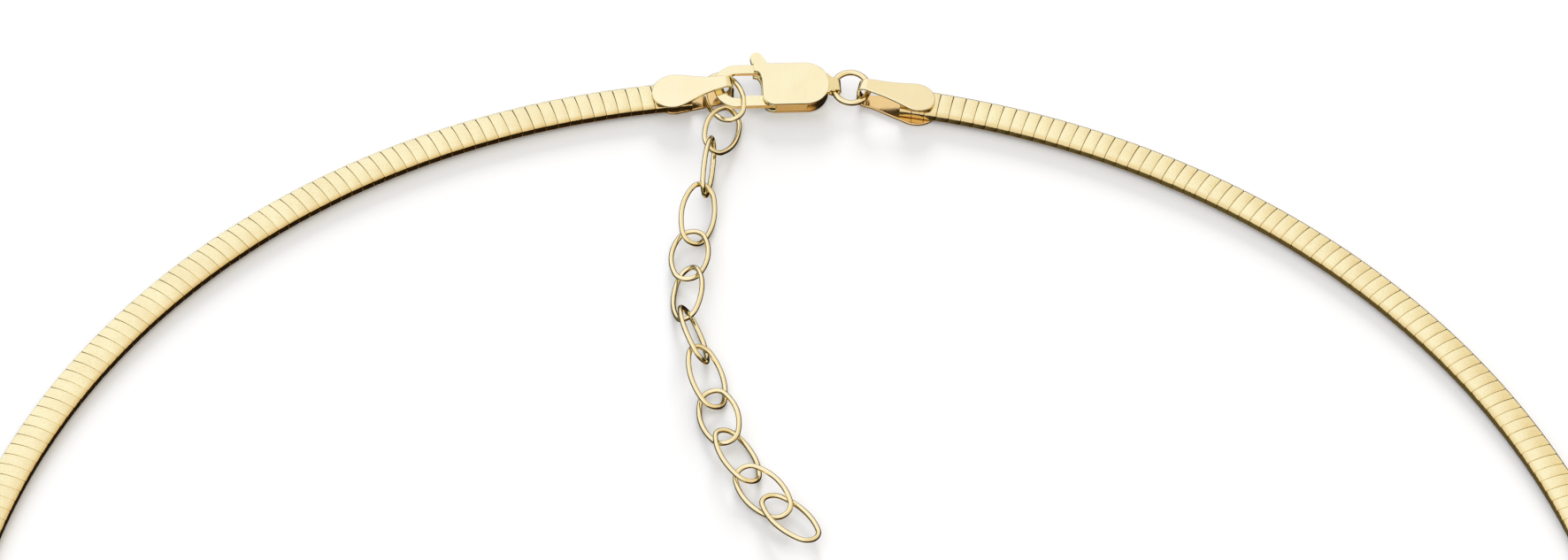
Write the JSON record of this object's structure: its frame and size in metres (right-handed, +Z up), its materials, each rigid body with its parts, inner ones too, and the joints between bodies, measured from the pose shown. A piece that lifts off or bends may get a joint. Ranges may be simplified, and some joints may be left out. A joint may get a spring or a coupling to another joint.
{
  "type": "omega necklace",
  "caption": "Springy flat band ring of crimped plates, closed at the back by a hook clasp with a thumb lever, with a short extender chain of oval links.",
  "frame": {"origin": "middle of the neck ring, on the table that the necklace lies on", "axes": "+Z up from the table, +Y towards the clasp at the back of the neck, +X to the right end cap"},
  "size_m": [0.149, 0.151, 0.0039],
  "materials": {
    "band_gold": "polished",
    "cap_gold": "polished",
    "clasp_gold": "polished",
    "wire_gold": "polished"
  },
  "bodies": {
    "necklace": {"band_left": "band_gold", "band_right": "band_gold", "end_cap_left": "cap_gold", "end_cap_right": "cap_gold", "clasp_body": "clasp_gold", "jump_ring": "wire_gold", "link_00": "wire_gold", "link_01": "wire_gold", "link_02": "wire_gold", "link_03": "wire_gold", "link_04": "wire_gold", "link_05": "wire_gold", "link_06": "wire_gold", "link_07": "wire_gold", "link_08": "wire_gold", "link_09": "wire_gold", "link_10": "wire_gold", "link_11": "wire_gold"},
    "lever": {"clasp_lever": "clasp_gold"}
  },
  "joints": [
    {"name": "clasp_lever", "type": "hinge", "parent": "necklace", "child": "lever", "pos_m": [-0.0017, 0.07171, 0.00114], "axis": [-0.0181, 0.2582, -0.9659], "range_deg": [0, 28], "stiffness_Nm_per_rad": 0.0002, "springref_deg": -5.73}
  ]
}
